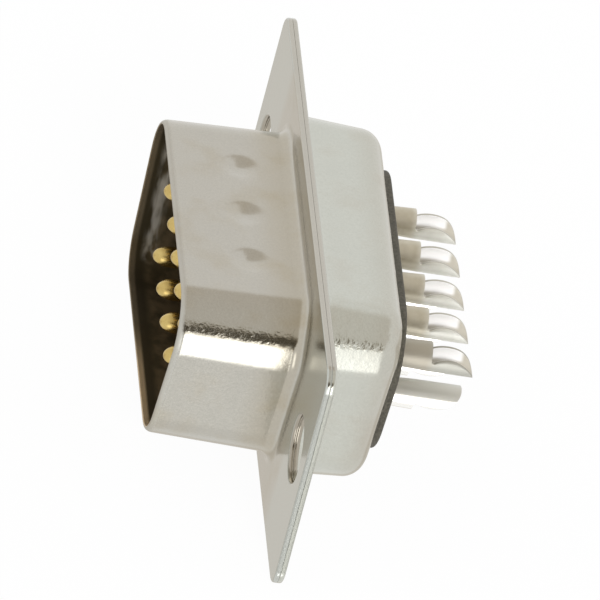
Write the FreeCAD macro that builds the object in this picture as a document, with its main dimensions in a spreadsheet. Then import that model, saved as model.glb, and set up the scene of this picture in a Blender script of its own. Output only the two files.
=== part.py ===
"""Nine-way D-shaped plug connector with solder cups, for a panel or a cable hood.

X runs along the connector, Y from the mating side to the wires and Z up.
The wide side of the D is on top. The origin is half way between the two fixing holes,
on the flange's front face.
"""
import FreeCAD, Part
import math
import os

import Sketcher

V = FreeCAD.Vector

# Driving sizes, in millimetres and degrees.
SIZES = {
    "flange_border": 0.915,
    "flange_corner": 1.0,
    "hole_to_tray": 2.97,
    "hole_to_end": 2.91,
    "hole_diameter": 3.2,
    "hole_edge_round": 0.18,
    "sheet": 0.25,
    "side_angle": 10.0,
    "collar_width": 17.05,
    "collar_height": 8.25,
    "collar_corner": 2.0,
    "collar_depth": 6.12,
    "collar_draft": 1.6,
    "collar_root": 0.6,
    "rim_round": 0.09,
    "dimple_radius": 0.95,
    "dimple_depth": 0.24,
    "dimple_edge_radius": 0.5,
    "dimple_pitch": 3.9,
    "dimple_from_flange": 2.65,
    "tray_width": 19.05,
    "tray_height": 10.72,
    "tray_corner": 2.5,
    "tray_depth": 4.1,
    "tray_draft": 3.8,
    "tray_root": 0.4,
    "tray_edge": 1.1,
    "insulator_play": 0.06,
    "insulator_split": 2.2,
    "boss_play": 0.12,
    "face_setback": 0.05,
    "tail_width": 15.8,
    "tail_height": 8.2,
    "tail_corner": 2.7,
    "tail_rise": 0.4,
    "tail_play": 0.05,
    "tail_edge": 0.12,
    "pin_pitch": 2.77,
    "row_pitch": 2.84,
    "pin_diameter": 1.02,
    "pin_reach": 5.62,
    "pin_nose": 0.46,
    "pin_neck_diameter": 1.4,
    "pin_recess_diameter": 2.2,
    "pin_recess_depth": 0.25,
    "bore_play": 0.04,
    "collet_diameter": 1.8,
    "collet_start": 1.3,
    "collet_length": 1.6,
    "root_diameter": 1.34,
    "cup_offset": 0.2,
    "cup_diameter": 1.46,
    "cup_bore": 1.08,
    "cup_floor": 5.5,
    "cup_notch": 6.65,
    "cup_reach": 8.95,
    "cup_crest_height": 0.26,
    "cup_lip_radius": 1.4,
    "cup_notch_round": 0.14,
}

doc = FreeCAD.newDocument("connector")
sheet = doc.addObject("Spreadsheet::Sheet", "Sizes")
for row, (alias, size) in enumerate(SIZES.items(), start=1):
    sheet.set(f"A{row}", alias)
    sheet.set(f"B{row}", str(size))
    sheet.setAlias(f"B{row}", alias)
doc.recompute()

WIDE_ROW = 5
NARROW_ROW = 4
WIDE_DIMPLE_COUNT = 3
NARROW_DIMPLE_COUNT = 2

# Lengths closer than this count as equal, and edges this near to a hole or a dent belong to it.
TINY = 1e-4
NEAR_HOLE = 0.01
NEAR_DENT = 0.2

# Sizes that follow from the sheet, as expressions for the features below.
S = "Sizes."
FLANGE_BACK = f"{S}sheet"
TRAY_START = f"2 * {S}sheet"
TRAY_END = f"2 * {S}sheet + {S}tray_depth"
TAIL_END = f"{TRAY_END} + {S}tail_rise"
COLLAR_GROWTH = f"tan({S}collar_draft * 1deg)"
TRAY_SHRINK = f"tan({S}tray_draft * 1deg)"
HOLE_PLACE = f"{S}tray_width / 2 + {S}hole_to_tray"
FLANGE_HALF_LENGTH = f"{HOLE_PLACE} + {S}hole_to_end"
FLANGE_HALF_HEIGHT = f"{S}tray_height / 2 + {S}flange_border"


def number(expression):
    """The plain value of an expression on the sheet."""
    value = sheet.evalExpression(str(expression))
    return float(getattr(value, "Value", value))


def new_body(name):
    body = doc.addObject("PartDesign::Body", name)
    body.Label = name
    return body


def plane(body, role):
    return next(f for f in body.Origin.OriginFeatures if f.Role == role)


def new_sketch(body, name, role, along="0", side="0"):
    """A sketch on one of the body's own planes, moved along the plane's normal and along its first axis."""
    sketch = body.newObject("Sketcher::SketchObject", name)
    sketch.AttachmentSupport = [(plane(body, role), "")]
    sketch.MapMode = "FlatFace"
    sketch.setExpression("AttachmentOffset.Base.z", along)
    sketch.setExpression("AttachmentOffset.Base.x", side)
    return sketch


def tie(sketch, index, name, expression):
    """Names a constraint and binds it to an expression."""
    sketch.renameConstraint(index, name)
    sketch.setExpression(f"Constraints.{name}", expression)


def outline(sketch, corners, arcs=None):
    """Closed outline through corners given as (x, y) expressions.

    arcs maps a corner's position in the list to the arc that runs from it to the next corner:
    its centre's two expressions, and True where it turns clockwise.
    """
    arcs = arcs or {}
    points = [V(number(x), number(y), 0) for x, y in corners]
    count = len(points)
    for i, start in enumerate(points):
        stop = points[(i + 1) % count]
        if i in arcs:
            sketch.addGeometry(arc_between(start, stop, *arcs[i]), False)
        else:
            sketch.addGeometry(Part.LineSegment(start, stop), False)

    def ends(i):
        """First and last point of piece i, in the order of travel."""
        return (2, 1) if i in arcs and arcs[i][2] else (1, 2)

    for i in range(count):
        after = (i + 1) % count
        sketch.addConstraint(Sketcher.Constraint("Coincident", i, ends(i)[1], after, ends(after)[0]))
    for i, (x, y) in enumerate(corners):
        place_point(sketch, i, ends(i)[0], x, y, f"_{i}")
    for i, (x, _, _) in arcs.items():
        index = sketch.addConstraint(Sketcher.Constraint("DistanceX", -1, 1, i, 3, number(x)))
        tie(sketch, index, f"centre_{i}", x)


def arc_between(start, stop, x, y, clockwise):
    """Arc from start to stop about the centre given by two expressions."""
    centre = V(number(x), number(y), 0)
    first, last = (stop, start) if clockwise else (start, stop)
    begin, end = (math.atan2(p.y - centre.y, p.x - centre.x) for p in (first, last))
    if end < begin:
        end += 2 * math.pi
    return Part.ArcOfCircle(Part.Circle(centre, V(0, 0, 1), (start - centre).Length), begin, end)


def place_point(sketch, piece, point, x, y, suffix):
    """Fixes a point at two expressions, or onto an axis where one of them is nought."""
    for kind, axis, name, expression in (("DistanceX", -2, "x", x), ("DistanceY", -1, "y", y)):
        if abs(number(expression)) < TINY:
            sketch.addConstraint(Sketcher.Constraint("PointOnObject", piece, point, axis))
        else:
            index = sketch.addConstraint(Sketcher.Constraint(kind, -1, 1, piece, point, number(expression)))
            tie(sketch, index, f"{name}{suffix}", expression)


def d_outline(sketch, half_width, half_height, corner):
    """D outline: wide side up, sides leaning in by the side angle, four equal round corners.
    half_width is measured at the widest part of the rounded outline."""
    hw, hh, r = number(half_width), number(half_height), number(corner)
    lean = math.radians(SIZES["side_angle"])
    top = V(hw - r, hh - r, 0)
    along = V(-math.sin(lean), -math.cos(lean), 0)
    low = top + along * ((2 * hh - 2 * r) / math.cos(lean))
    out = V(math.cos(lean), -math.sin(lean), 0) * r
    up = V(0, r, 0)

    def flip(p):
        return V(-p.x, p.y, 0)

    # Lines: top, right side, bottom, left side.
    lines = [
        (flip(top) + up, top + up),
        (top + out, low + out),
        (low - up, flip(low) - up),
        (flip(low + out), flip(top + out)),
    ]
    for start, end in lines:
        sketch.addGeometry(Part.LineSegment(start, end), False)
    # Corners: top right, bottom right, bottom left, top left, each running anticlockwise.
    corners = [(top, -lean, math.pi / 2), (low, -math.pi / 2, -lean)]
    corners += [(flip(low), math.pi + lean, 1.5 * math.pi), (flip(top), math.pi / 2, math.pi + lean)]
    for centre, first, last in corners:
        sketch.addGeometry(Part.ArcOfCircle(Part.Circle(centre, V(0, 0, 1), r), first, last), False)
    for line, arc in ((0, 4), (1, 5), (2, 6), (3, 7)):
        sketch.addConstraint(Sketcher.Constraint("Tangent", line, 2, arc, 2))
        sketch.addConstraint(Sketcher.Constraint("Tangent", arc, 1, (line + 1) % 4, 1))
    sketch.addConstraint(Sketcher.Constraint("Horizontal", 0))
    sketch.addConstraint(Sketcher.Constraint("Horizontal", 2))
    for arc in (5, 6, 7):
        sketch.addConstraint(Sketcher.Constraint("Equal", 4, arc))
    index = sketch.addConstraint(Sketcher.Constraint("Radius", 4, r))
    tie(sketch, index, "corner", corner)
    index = sketch.addConstraint(Sketcher.Constraint("DistanceY", -1, 1, 0, 1, hh))
    tie(sketch, index, "top", half_height)
    index = sketch.addConstraint(Sketcher.Constraint("DistanceY", 2, 1, -1, 1, hh))
    tie(sketch, index, "bottom", half_height)
    index = sketch.addConstraint(Sketcher.Constraint("DistanceX", -1, 1, 4, 3, hw - r))
    tie(sketch, index, "right", f"{half_width} - ({corner})")
    index = sketch.addConstraint(Sketcher.Constraint("DistanceX", 7, 3, -1, 1, hw - r))
    tie(sketch, index, "left", f"{half_width} - ({corner})")
    index = sketch.addConstraint(Sketcher.Constraint("Angle", 1, 2, 3, 1, 2 * lean))
    tie(sketch, index, "lean", f"2 * {S}side_angle * 1deg")
    sketch.addConstraint(Sketcher.Constraint("Equal", 1, 3))


def flange_outline(sketch):
    """Flange with four round corners and its two fixing holes."""
    hw, hh, r = number(FLANGE_HALF_LENGTH), number(FLANGE_HALF_HEIGHT), SIZES["flange_corner"]
    x, z = hw - r, hh - r
    lines = [((-x, hh), (x, hh)), ((hw, z), (hw, -z)), ((x, -hh), (-x, -hh)), ((-hw, -z), (-hw, z))]
    for start, end in lines:
        sketch.addGeometry(Part.LineSegment(V(*start, 0), V(*end, 0)), False)
    corners = [(x, z, 0), (x, -z, -90), (-x, -z, 180), (-x, z, 90)]
    for cx, cz, first in corners:
        first = math.radians(first)
        circle = Part.Circle(V(cx, cz, 0), V(0, 0, 1), r)
        sketch.addGeometry(Part.ArcOfCircle(circle, first, first + math.pi / 2), False)
    for line, arc in ((0, 4), (1, 5), (2, 6), (3, 7)):
        sketch.addConstraint(Sketcher.Constraint("Tangent", line, 2, arc, 2))
        sketch.addConstraint(Sketcher.Constraint("Tangent", arc, 1, (line + 1) % 4, 1))
    for arc in (5, 6, 7):
        sketch.addConstraint(Sketcher.Constraint("Equal", 4, arc))
    for line, kind in ((0, "Horizontal"), (1, "Vertical"), (2, "Horizontal"), (3, "Vertical")):
        sketch.addConstraint(Sketcher.Constraint(kind, line))
    index = sketch.addConstraint(Sketcher.Constraint("Radius", 4, r))
    tie(sketch, index, "corner", f"{S}flange_corner")
    for name, kind, line, value, size in (
        ("top", "DistanceY", 0, hh, FLANGE_HALF_HEIGHT),
        ("right", "DistanceX", 1, hw, FLANGE_HALF_LENGTH),
    ):
        index = sketch.addConstraint(Sketcher.Constraint(kind, -1, 1, line, 1, value))
        tie(sketch, index, name, size)
    for name, kind, line, value, size in (
        ("bottom", "DistanceY", 2, hh, FLANGE_HALF_HEIGHT),
        ("left", "DistanceX", 3, hw, FLANGE_HALF_LENGTH),
    ):
        index = sketch.addConstraint(Sketcher.Constraint(kind, line, 1, -1, 1, value))
        tie(sketch, index, name, size)
    circles(sketch, [(f"-({HOLE_PLACE})", "0"), (HOLE_PLACE, "0")], f"{S}hole_diameter / 2")


def circles(sketch, centres, radius):
    """Equal circles at centres given as (x, y) expressions."""
    first = sketch.GeometryCount
    for k, (x, y) in enumerate(centres):
        geo = first + k
        circle = Part.Circle(V(number(x), number(y), 0), V(0, 0, 1), number(radius))
        sketch.addGeometry(circle, False)
        place_point(sketch, geo, 3, x, y, f"_hole_{k}")
        if k:
            sketch.addConstraint(Sketcher.Constraint("Equal", first, geo))
    index = sketch.addConstraint(Sketcher.Constraint("Radius", first, number(radius)))
    tie(sketch, index, "hole_radius", radius)


def pad(body, name, sketch, length, taper=None, towards_wires=True):
    """Adds the sketch's area. A sketch on the XZ plane looks at the mating side, so wires are its reverse."""
    feature = body.newObject("PartDesign::Pad", name)
    feature.Profile = sketch
    feature.setExpression("Length", length)
    feature.Reversed = towards_wires
    if taper:
        feature.setExpression("TaperAngle", taper)
    return finish(feature)


def pocket(body, name, sketch, length, taper=None, towards_wires=True):
    """Takes the sketch's area away, and checks that this removed something."""
    before = body.Shape.Volume
    feature = body.newObject("PartDesign::Pocket", name)
    feature.Profile = sketch
    feature.setExpression("Length", length)
    feature.Reversed = not towards_wires
    if taper:
        feature.setExpression("TaperAngle", taper)
    finish(feature)
    if feature.Shape.Volume > before - TINY:
        raise RuntimeError(f"{name} removed nothing")
    return feature


def finish(feature):
    doc.recompute()
    return feature


def edges_where(feature, test):
    """Names of a feature's edges whose middle point and edge pass a test."""
    found = []
    for k, edge in enumerate(feature.Shape.Edges, start=1):
        middle = edge.valueAt((edge.FirstParameter + edge.LastParameter) / 2)
        if test(middle, edge):
            found.append(f"Edge{k}")
    return found


def in_plane(y):
    """Test for edges that lie in the plane across Y at that value."""
    def test(middle, edge):
        return all(abs(v.Point.y - y) < TINY for v in edge.Vertexes) and abs(middle.y - y) < TINY
    return test


def fillet(body, name, base, edges, radius):
    if not edges:
        raise RuntimeError(f"{name} found no edge")
    feature = body.newObject("PartDesign::Fillet", name)
    feature.Base = (base, edges)
    feature.setExpression("Radius", radius)
    return finish(feature)


def beside_holes(middle):
    """True beside a fixing hole, on its rim."""
    reach = number(f"{S}hole_diameter / 2") + NEAR_HOLE
    return math.hypot(abs(middle.x) - number(HOLE_PLACE), middle.z) < reach


def on_d_edge(y):
    """Test for the edges of a D in the plane across Y: not the flange's rim and not the holes."""
    half_length, half_height = number(FLANGE_HALF_LENGTH), number(FLANGE_HALF_HEIGHT)

    def test(middle, edge):
        inside = abs(middle.x) < half_length - SIZES["flange_corner"] and abs(middle.z) < half_height - TINY
        return in_plane(y)(middle, edge) and inside and not beside_holes(middle)
    return test


def round_hole_edges(body, base, y):
    """Die roll round the fixing holes on the face across Y."""
    def test(middle, edge):
        return in_plane(y)(middle, edge) and beside_holes(middle)
    return fillet(body, f"{body.Name}_hole_roll", base, edges_where(base, test), f"{S}hole_edge_round")


# The front shell is one sheet, drawn into a flange and a D-shaped collar round the pins.

RIM = f"{S}collar_depth"
COLLAR_HALF_WIDTH = f"{S}collar_width / 2"
COLLAR_HALF_HEIGHT = f"{S}collar_height / 2"


def front_shell():
    body = new_body("front_shell")
    flange = new_sketch(body, "front_flange_outline", "XZ_Plane")
    flange_outline(flange)
    pad(body, "front_flange", flange, f"{S}sheet")
    outer = new_sketch(body, "collar_outer_outline", "XZ_Plane", RIM)
    d_outline(outer, f"{COLLAR_HALF_WIDTH} + {S}sheet", f"{COLLAR_HALF_HEIGHT} + {S}sheet",
              f"{S}collar_corner + {S}sheet")
    collar = pad(body, "collar", outer, RIM, f"{S}collar_draft * 1deg")
    root = fillet(body, "collar_root_bend", collar, edges_where(collar, on_d_edge(0)), f"{S}collar_root")
    inner = new_sketch(body, "collar_inner_outline", "XZ_Plane", RIM)
    d_outline(inner, COLLAR_HALF_WIDTH, COLLAR_HALF_HEIGHT, f"{S}collar_corner")
    mouth = pocket(body, "collar_mouth", inner, f"{S}collar_depth + {S}sheet", f"{S}collar_draft * 1deg")
    back = number(FLANGE_BACK)
    bend = fillet(body, "collar_inner_bend", mouth, edges_where(mouth, on_d_edge(back)),
                  f"{S}collar_root + {S}sheet")
    rim = fillet(body, "collar_rim", bend, edges_where(bend, in_plane(-number(RIM))), f"{S}rim_round")
    round_hole_edges(body, rim, 0)
    for name, side, count in (("wide", 1, WIDE_DIMPLE_COUNT), ("narrow", -1, NARROW_DIMPLE_COUNT)):
        dimples(body, name, side, count)
    return body


def dimples(body, name, side, count):
    """A row of round dents pressed into the collar's wide side (1) or narrow side (-1)."""
    grow = f"({RIM} - {S}dimple_from_flange) * {COLLAR_GROWTH}"
    surface = f"({COLLAR_HALF_HEIGHT} + {S}sheet + {grow})"
    ball = f"({S}dimple_radius ^ 2 + {S}dimple_depth ^ 2) / (2 * {S}dimple_depth)"
    shelf = f"{S}sheet / 2"
    for k in range(count):
        place = f"({k} - {(count - 1) / 2}) * {S}dimple_pitch"
        for part, kind, radius, bottom, top in (
            ("bump", "PartDesign::Revolution", f"({ball} + {S}sheet)", f"{S}sheet", f"-({shelf})"),
            ("dent", "PartDesign::Groove", f"({ball})", "0", shelf),
        ):
            # The profile is a ball's cap beside the dent's own axis, from its lowest point up to a shelf.
            low = f"{surface} - {S}dimple_depth - {bottom}"
            high = f"{surface} + {top}"
            centre = f"{low} + {radius}"
            half = f"sqrt({radius} ^ 2 - ({centre} - ({high})) ^ 2)"
            label = f"{name}_{part}_{k + 1}"
            profile = new_sketch(body, f"{label}_profile", "YZ_Plane", place, f"-{S}dimple_from_flange")
            cap_profile(profile, low, high, half, centre, side)
            turned = turn(body, label, profile, kind)
        roll_dent(body, f"{name}_roll_{k + 1}", turned, number(place), side * number(surface))


def roll_dent(body, name, base, x, z):
    """Soft edge where a dent leaves the collar's outer face."""
    reach = SIZES["dimple_radius"] + NEAR_DENT

    def test(middle, edge):
        across = math.hypot(middle.x - x, middle.y + SIZES["dimple_from_flange"])
        return across < reach and abs(middle.z - z) < SIZES["sheet"] / 2
    return fillet(body, name, base, edges_where(base, test), f"{S}dimple_edge_radius")


def cap_profile(sketch, low, high, half, centre, side):
    """Half of a ball's cap: up its axis, out along the shelf, and back round the ball."""
    def z(expression):
        return f"{side} * ({expression})"
    a, b, c = V(0, number(z(low)), 0), V(0, number(z(high)), 0), V(number(half), number(z(high)), 0)
    middle = V(0, number(z(centre)), 0)
    radius = (c - middle).Length
    sketch.addGeometry(Part.LineSegment(a, b), False)
    sketch.addGeometry(Part.LineSegment(b, c), False)
    ends = sorted(math.atan2(p.y - middle.y, p.x - middle.x) for p in (a, c))
    sketch.addGeometry(Part.ArcOfCircle(Part.Circle(middle, V(0, 0, 1), radius), *ends), False)
    foot, shoulder = (1, 2) if side > 0 else (2, 1)
    sketch.addConstraint(Sketcher.Constraint("Coincident", 0, 2, 1, 1))
    sketch.addConstraint(Sketcher.Constraint("Coincident", 1, 2, 2, shoulder))
    sketch.addConstraint(Sketcher.Constraint("Coincident", 2, foot, 0, 1))
    sketch.addConstraint(Sketcher.Constraint("Vertical", 0))
    sketch.addConstraint(Sketcher.Constraint("Horizontal", 1))
    for geo, point in ((0, 1), (2, 3)):
        sketch.addConstraint(Sketcher.Constraint("PointOnObject", geo, point, -2))
    for name, geo, point, expression in (("low", 0, 1, low), ("high", 0, 2, high), ("centre", 2, 3, centre)):
        height = number(z(expression))
        index = sketch.addConstraint(Sketcher.Constraint("DistanceY", -1, 1, geo, point, height))
        tie(sketch, index, name, z(expression))


# The rear shell is a second sheet: the same flange, and a tray that holds the insulator.

TRAY_HALF_WIDTH = f"{S}tray_width / 2"
TRAY_HALF_HEIGHT = f"{S}tray_height / 2"
TAIL_HALF_WIDTH = f"{S}tail_width / 2"
TAIL_HALF_HEIGHT = f"{S}tail_height / 2"


def tray_block(body, name, start, end, inset, edge):
    """Solid D that narrows from start to end, inset from the tray's outside, with a round end edge."""
    outline_at_start = new_sketch(body, f"{name}_outline", "XZ_Plane", f"-({start})")
    d_outline(outline_at_start, f"{TRAY_HALF_WIDTH} - ({inset})", f"{TRAY_HALF_HEIGHT} - ({inset})",
              f"{S}tray_corner - ({inset})")
    block = pad(body, name, outline_at_start, f"{end} - ({start})", f"-{S}tray_draft * 1deg")
    return fillet(body, f"{name}_end_bend", block, edges_where(block, in_plane(number(end))), edge)


def rear_shell():
    body = new_body("rear_shell")
    flange = new_sketch(body, "rear_flange_outline", "XZ_Plane", f"-({FLANGE_BACK})")
    flange_outline(flange)
    pad(body, "rear_flange", flange, f"{S}sheet")
    block = tray_block(body, "tray", TRAY_START, TRAY_END, "0", f"{S}tray_edge")
    start = number(TRAY_START)
    fillet(body, "tray_root_bend", block, edges_where(block, on_d_edge(start)), f"{S}tray_root")
    core = new_body("tray_core")
    core_inset = f"{S}sheet - {S}sheet * {TRAY_SHRINK}"
    core_end, core_edge = f"{TRAY_END} - {S}sheet", f"{S}tray_edge - {S}sheet"
    tray_block(core, "tray_inside", FLANGE_BACK, core_end, core_inset, core_edge)
    hollow = body.newObject("PartDesign::Boolean", "tray_hollow")
    hollow.Type = "Cut"
    hollow.setObjects([core])
    doc.recompute()
    bend = fillet(body, "tray_inner_root_bend", hollow, edges_where(hollow, on_d_edge(number(FLANGE_BACK))),
                  f"{S}tray_root + {S}sheet")
    opening = new_sketch(body, "tray_opening_outline", "XZ_Plane", f"-({TRAY_END} - {S}tray_edge)")
    d_outline(opening, f"{TAIL_HALF_WIDTH} + {S}tail_play", f"{TAIL_HALF_HEIGHT} + {S}tail_play",
              f"{S}tail_corner + {S}tail_play")
    through = pocket(body, "tray_opening", opening, f"2 * {S}tray_edge")
    round_hole_edges(body, through, start)
    return body


# The insulator is two mouldings that clamp the contacts between them.

def contact_places():
    """Name, x and z expressions and side of each contact: the wide row on top, its cups opening upwards."""
    places = []
    for row, (count, side) in enumerate(((WIDE_ROW, 1), (NARROW_ROW, -1))):
        for k in range(count):
            x = f"({k} - {(count - 1) / 2}) * {S}pin_pitch"
            places.append((f"contact_{row * WIDE_ROW + k + 1}", x, f"{side} * {S}row_pitch / 2", side))
    return places


def contact_holes(body, name, y, depth, radius, outwards="0", towards_wires=True):
    """One round hole for each contact, cut from the plane across Y at y, its middle moved outwards in Z."""
    sketch = new_sketch(body, f"{name}_outline", "XZ_Plane", f"-({y})")
    centres = [(x, f"{z} + {side} * ({outwards})") for _, x, z, side in contact_places()]
    circles(sketch, centres, radius)
    return pocket(body, name, sketch, depth, towards_wires=towards_wires)


def shoulder_outline(sketch, y):
    """The insulator's widest outline: the tray's inside at y, less the play."""
    inset = f"{S}sheet + {S}insulator_play + ({y} - {S}sheet) * {TRAY_SHRINK}"
    d_outline(sketch, f"{TRAY_HALF_WIDTH} - ({inset})", f"{TRAY_HALF_HEIGHT} - ({inset})",
              f"{S}tray_corner - ({inset})")


NECK_START = f"{S}face_setback + {S}pin_recess_depth"
COLLET_END = f"{S}collet_start + {S}collet_length"


def front_insulator():
    body = new_body("front_insulator")
    shoulder = new_sketch(body, "front_shoulder_outline", "XZ_Plane", f"-({FLANGE_BACK})")
    shoulder_outline(shoulder, FLANGE_BACK)
    pad(body, "front_shoulder", shoulder, f"{S}insulator_split - {S}sheet", f"-{S}tray_draft * 1deg")
    boss = new_sketch(body, "front_boss_outline", "XZ_Plane", f"-({FLANGE_BACK})")
    d_outline(boss, f"{COLLAR_HALF_WIDTH} + {RIM} * {COLLAR_GROWTH} - {S}boss_play",
              f"{COLLAR_HALF_HEIGHT} + {RIM} * {COLLAR_GROWTH} - {S}boss_play",
              f"{S}collar_corner")
    pad(body, "front_boss", boss, f"{FLANGE_BACK} - {S}face_setback", towards_wires=False)
    contact_holes(body, "pin_holes", f"{S}face_setback", f"{S}insulator_split",
                  f"{S}pin_neck_diameter / 2 + {S}bore_play")
    contact_holes(body, "pin_recesses", f"{S}face_setback", f"{S}pin_recess_depth",
                  f"{S}pin_recess_diameter / 2")
    contact_holes(body, "front_collet_seats", f"{S}insulator_split", f"{S}insulator_split - {S}collet_start",
                  f"{S}collet_diameter / 2 + {S}bore_play", towards_wires=False)
    return body


def rear_insulator():
    body = new_body("rear_insulator")
    shoulder = new_sketch(body, "rear_shoulder_outline", "XZ_Plane", f"-({S}insulator_split)")
    shoulder_outline(shoulder, f"{S}insulator_split")
    floor = f"{TRAY_END} - {S}sheet"
    block = pad(body, "rear_shoulder", shoulder, f"{floor} - {S}insulator_split", f"-{S}tray_draft * 1deg")
    fillet(body, "rear_shoulder_round", block, edges_where(block, in_plane(number(floor))), f"{S}tray_edge")
    tail = new_sketch(body, "tail_outline", "XZ_Plane", f"-({floor} - {S}tray_edge)")
    d_outline(tail, TAIL_HALF_WIDTH, TAIL_HALF_HEIGHT, f"{S}tail_corner")
    block = pad(body, "tail", tail, f"{TAIL_END} - ({floor} - {S}tray_edge)")
    fillet(body, "tail_round", block, edges_where(block, in_plane(number(TAIL_END))), f"{S}tail_edge")
    contact_holes(body, "cup_holes", f"{S}insulator_split", f"{TAIL_END} - {S}insulator_split",
                  f"{S}root_diameter / 2 + {S}bore_play", f"{S}cup_offset")
    contact_holes(body, "rear_collet_seats", f"{S}insulator_split", f"{COLLET_END} - {S}insulator_split",
                  f"{S}collet_diameter / 2 + {S}bore_play")
    return body


# Each contact has a round-nosed pin, a collet inside the insulator and a solder cup set a little outwards.

def contact(name, x, z, side):
    body = new_body(name)
    front = new_sketch(body, f"{name}_front_profile", "XY_Plane")
    pin, neck, collet, root, cup = (
        f"{S}{k}_diameter / 2" for k in ("pin", "pin_neck", "collet", "root", "cup")
    )
    outline(front, [
        ("0", f"-{S}pin_reach"), (pin, f"-{S}pin_reach"), (pin, NECK_START), (neck, NECK_START),
        (neck, f"{S}collet_start"), (collet, f"{S}collet_start"), (collet, COLLET_END), ("0", COLLET_END),
    ])
    turned = turn(body, f"{name}_front", front)
    nose = edges_where(turned, in_plane(-number(f"{S}pin_reach")))
    fillet(body, f"{name}_nose", turned, nose, f"{S}pin_nose")
    rear = new_sketch(body, f"{name}_rear_profile", "XY_Plane", f"{S}cup_offset")
    middle = f"{S}collet_start + {S}collet_length / 2"
    outline(rear, [
        ("0", middle), (root, middle), (root, TAIL_END), (cup, f"{S}cup_notch"), (cup, f"{S}cup_reach"),
        ("0", f"{S}cup_reach"),
    ])
    turn(body, f"{name}_rear", rear)
    bore = new_sketch(body, f"{name}_bore_outline", "XZ_Plane", f"-{S}cup_reach")
    circles(bore, [("0", f"{S}cup_offset")], f"{S}cup_bore / 2")
    pocket(body, f"{name}_bore", bore, f"{S}cup_reach - {S}cup_floor", towards_wires=False)
    scoop(body, name)
    turned_over = FreeCAD.Rotation(V(0, 1, 0), 90 - 90 * side)
    body.Placement = FreeCAD.Placement(V(number(x), 0, number(z)), turned_over)
    body.setExpression("Placement.Base.x", x)
    body.setExpression("Placement.Base.z", z)
    return body


def turn(body, name, profile, kind="PartDesign::Revolution"):
    """Turns a profile about its own vertical axis, to add material or to cut a groove."""
    turned = body.newObject(kind, name)
    turned.Profile = profile
    turned.ReferenceAxis = (profile, ["V_Axis"])
    turned.Angle = 360
    return finish(turned)


def scoop(body, name):
    """Cuts the cup open behind the notch, along a lip that arches up to its crest and down to the tip."""
    side_view = new_sketch(body, f"{name}_scoop_outline", "YZ_Plane")
    over = f"{S}cup_diameter"
    past = f"{S}cup_reach + {S}cup_diameter"
    notch, corner, arch = f"{S}cup_notch", f"{S}cup_notch_round", f"{S}cup_lip_radius"
    # The arch and the notch's round corner touch on the line between their centres.
    arch_y, arch_z = f"{S}cup_reach - {arch}", f"{S}cup_offset + {S}cup_crest_height - {arch}"
    run = f"({arch_y} - {notch} - {corner})"
    rise = f"sqrt(({arch} + {corner}) ^ 2 - {run} ^ 2)"
    share = f"{arch} / ({arch} + {corner})"
    corners = [
        (notch, over), (past, over), (past, arch_z), (f"{S}cup_reach", arch_z),
        (f"{arch_y} - {run} * {share}", f"{arch_z} + {rise} * {share}"), (notch, f"{arch_z} + {rise}"),
    ]
    arcs = {
        3: (arch_y, arch_z, False),
        4: (f"{notch} + {corner}", f"{arch_z} + {rise}", True),
    }
    outline(side_view, corners, arcs)
    before = body.Shape.Volume
    feature = body.newObject("PartDesign::Pocket", f"{name}_scoop")
    feature.Profile = side_view
    feature.Midplane = True
    feature.setExpression("Length", f"2 * {S}cup_diameter")
    finish(feature)
    if feature.Shape.Volume > before - TINY:
        raise RuntimeError(f"{name}'s scoop removed nothing")


def check_and_write(bodies):
    doc.recompute()
    for obj in doc.Objects:
        if "Invalid" in obj.State or "Error" in obj.State:
            raise RuntimeError(f"{obj.Name} failed: {obj.State}")
    os.makedirs("parts", exist_ok=True)
    for body in bodies:
        shape = body.Shape
        if shape.isNull() or not shape.isValid() or len(shape.Solids) != 1:
            raise RuntimeError(f"{body.Label} isn't one valid solid")
    for body in bodies:
        body.Shape.exportStep(f"parts/{body.Label}.step")


pieces = [front_shell(), rear_shell(), front_insulator(), rear_insulator()]
pieces += [contact(*place) for place in contact_places()]
check_and_write(pieces)
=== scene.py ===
"""Looks of the nine-way plug connector: plated sheet shells, black insulator, gilt pins and solder cups.

Sizes are in millimetres and degrees. X runs along the connector, Y towards the wires and Z up.
"""
import math

import bmesh
import bpy
from mathutils import Matrix, Vector


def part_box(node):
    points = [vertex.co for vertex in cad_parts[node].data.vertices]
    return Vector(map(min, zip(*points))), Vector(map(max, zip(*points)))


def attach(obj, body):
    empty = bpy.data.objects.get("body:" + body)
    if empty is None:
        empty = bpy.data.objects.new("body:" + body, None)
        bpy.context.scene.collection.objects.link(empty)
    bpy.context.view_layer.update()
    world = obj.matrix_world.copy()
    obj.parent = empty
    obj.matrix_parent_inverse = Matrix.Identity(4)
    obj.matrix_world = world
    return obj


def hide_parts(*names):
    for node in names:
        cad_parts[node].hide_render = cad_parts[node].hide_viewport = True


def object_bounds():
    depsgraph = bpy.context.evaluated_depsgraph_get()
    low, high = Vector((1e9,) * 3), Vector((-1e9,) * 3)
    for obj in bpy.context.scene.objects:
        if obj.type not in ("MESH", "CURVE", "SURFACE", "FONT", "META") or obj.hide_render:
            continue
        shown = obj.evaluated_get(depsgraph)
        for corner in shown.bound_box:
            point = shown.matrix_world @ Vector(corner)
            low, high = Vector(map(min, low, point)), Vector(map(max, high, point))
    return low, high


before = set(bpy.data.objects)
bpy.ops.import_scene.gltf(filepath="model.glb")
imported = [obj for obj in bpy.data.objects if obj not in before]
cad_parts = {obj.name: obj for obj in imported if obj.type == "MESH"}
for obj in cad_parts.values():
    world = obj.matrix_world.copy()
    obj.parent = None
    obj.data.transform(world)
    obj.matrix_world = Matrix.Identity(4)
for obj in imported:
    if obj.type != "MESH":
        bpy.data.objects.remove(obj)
cad_box = [list(corner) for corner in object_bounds()]

MM = 0.001


def box(node):
    """Lowest and highest corner of a node of the model, in millimetres."""
    low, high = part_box(node)
    return low / MM, high / MM


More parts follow.
